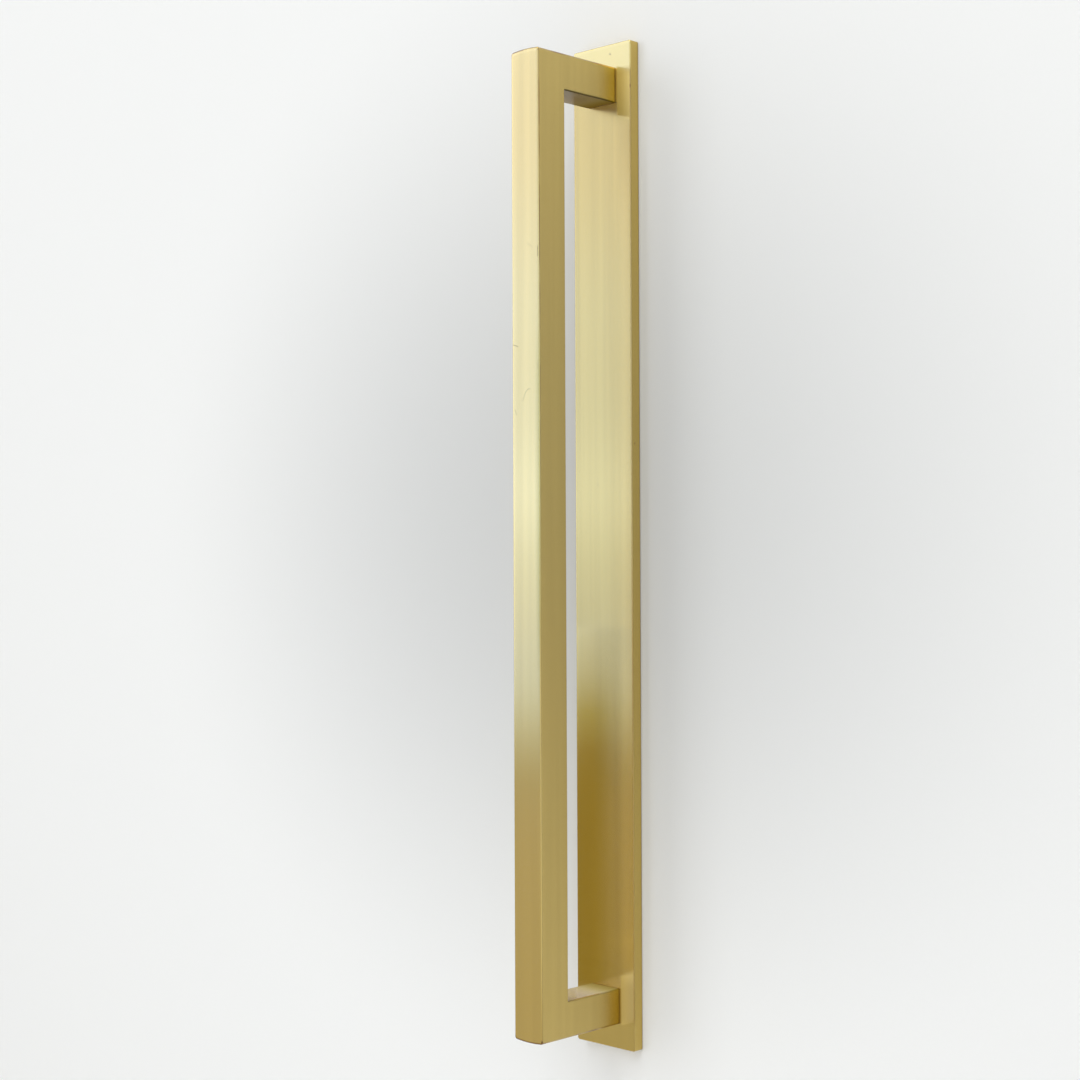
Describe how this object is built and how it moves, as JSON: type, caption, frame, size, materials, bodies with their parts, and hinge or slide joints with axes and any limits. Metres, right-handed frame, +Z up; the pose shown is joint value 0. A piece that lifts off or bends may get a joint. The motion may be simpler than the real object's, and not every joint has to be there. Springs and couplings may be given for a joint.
{
  "type": "cabinet handle",
  "caption": "Square bar D-shaped cabinet pull on a flat rectangular backplate, fixed by screws from behind the door.",
  "frame": {"origin": "centre of the backplate's rear face, where the handle meets the door", "axes": "+Z up along the grip, +Y into the door, +X to the right across the door"},
  "size_m": [0.025, 0.0629, 0.327],
  "materials": {
    "handle_brass": "satin, brushed along its length",
    "plate_brass": "satin, brushed along its length",
    "screw_steel": "bright zinc plated",
    "washer_steel": "bright zinc plated"
  },
  "bodies": {
    "root": {"pull_handle": "handle_brass", "backplate": "plate_brass", "upper_fixing_screw": "screw_steel", "lower_fixing_screw": "screw_steel", "upper_washer": "washer_steel", "lower_washer": "washer_steel"}
  },
  "joints": []
}
